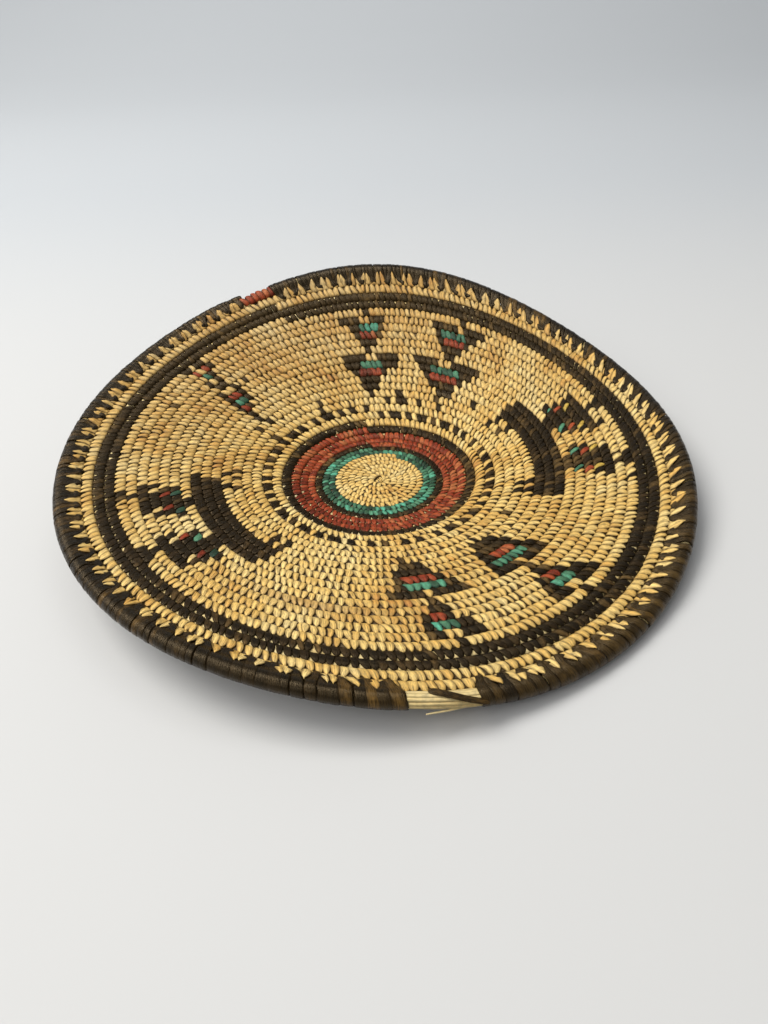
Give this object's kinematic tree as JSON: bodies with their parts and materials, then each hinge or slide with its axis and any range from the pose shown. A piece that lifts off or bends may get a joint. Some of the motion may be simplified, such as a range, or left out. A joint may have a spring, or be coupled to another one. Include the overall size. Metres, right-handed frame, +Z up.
{
  "type": "winnowing basket",
  "caption": "Shallow coiled winnowing tray of grass stems sewn with dyed palm splints, with a dark wrapped rim and banded pattern.",
  "frame": {"origin": "middle of the flat base, on the surface that the tray rests on", "axes": "+Z up; +Y towards the high back edge where the coil's turns are counted from; +X to the right"},
  "size_m": [0.39, 0.3932, 0.079],
  "materials": {
    "straw_coil": "pale palm splints sewn over grass, matt, fibrous, lightly soiled",
    "dark_coil": "splints dyed black brown, low sheen, worn lighter on the crests",
    "red_coil": "splints dyed brick red, matt, slightly faded",
    "teal_coil": "splints dyed blue green, uneven, matt",
    "rim_wrap": "broad olive brown splints wound close, satin, rubbed",
    "bare_stems": "bare dry grass stems, pale, slightly glossy"
  },
  "bodies": {
    "root": {"centre_knot": "straw_coil", "centre_turn_02": "straw_coil", "centre_turn_03": "straw_coil", "centre_turn_04": "straw_coil", "centre_turn_05": "straw_coil", "centre_turn_06": "straw_coil", "dark_band_turn_30": "dark_coil", "dark_band_turn_31": "dark_coil", "dashed_turn_15": "straw_coil", "field_turn_16": "straw_coil", "field_turn_17": "straw_coil", "field_turn_18": "straw_coil", "field_turn_19": "straw_coil", "field_turn_20": "straw_coil", "field_turn_21": "straw_coil", "field_turn_22": "straw_coil", "field_turn_23": "straw_coil", "field_turn_24": "straw_coil", "field_turn_25": "straw_coil", "field_turn_26": "straw_coil", "field_turn_27": "straw_coil", "field_turn_28": "straw_coil", "field_turn_29": "straw_coil", "inner_black_turn_09": "dark_coil", "inner_straw_turn_14": "straw_coil", "loose_splint": "dark_coil", "loose_stem": "bare_stems", "outer_black_turn_13": "dark_coil", "outer_straw_turn_32": "straw_coil", "red_turn_10": "red_coil", "red_turn_11": "red_coil", "red_turn_12": "red_coil", "red_wrapped_stub": "red_coil", "rim_stems": "bare_stems", "rim_wrap_left": "rim_wrap", "rim_wrap_right": "rim_wrap", "teal_turn_07": "teal_coil", "teal_turn_08": "teal_coil", "toothed_turn_33": "straw_coil"}
  },
  "joints": []
}
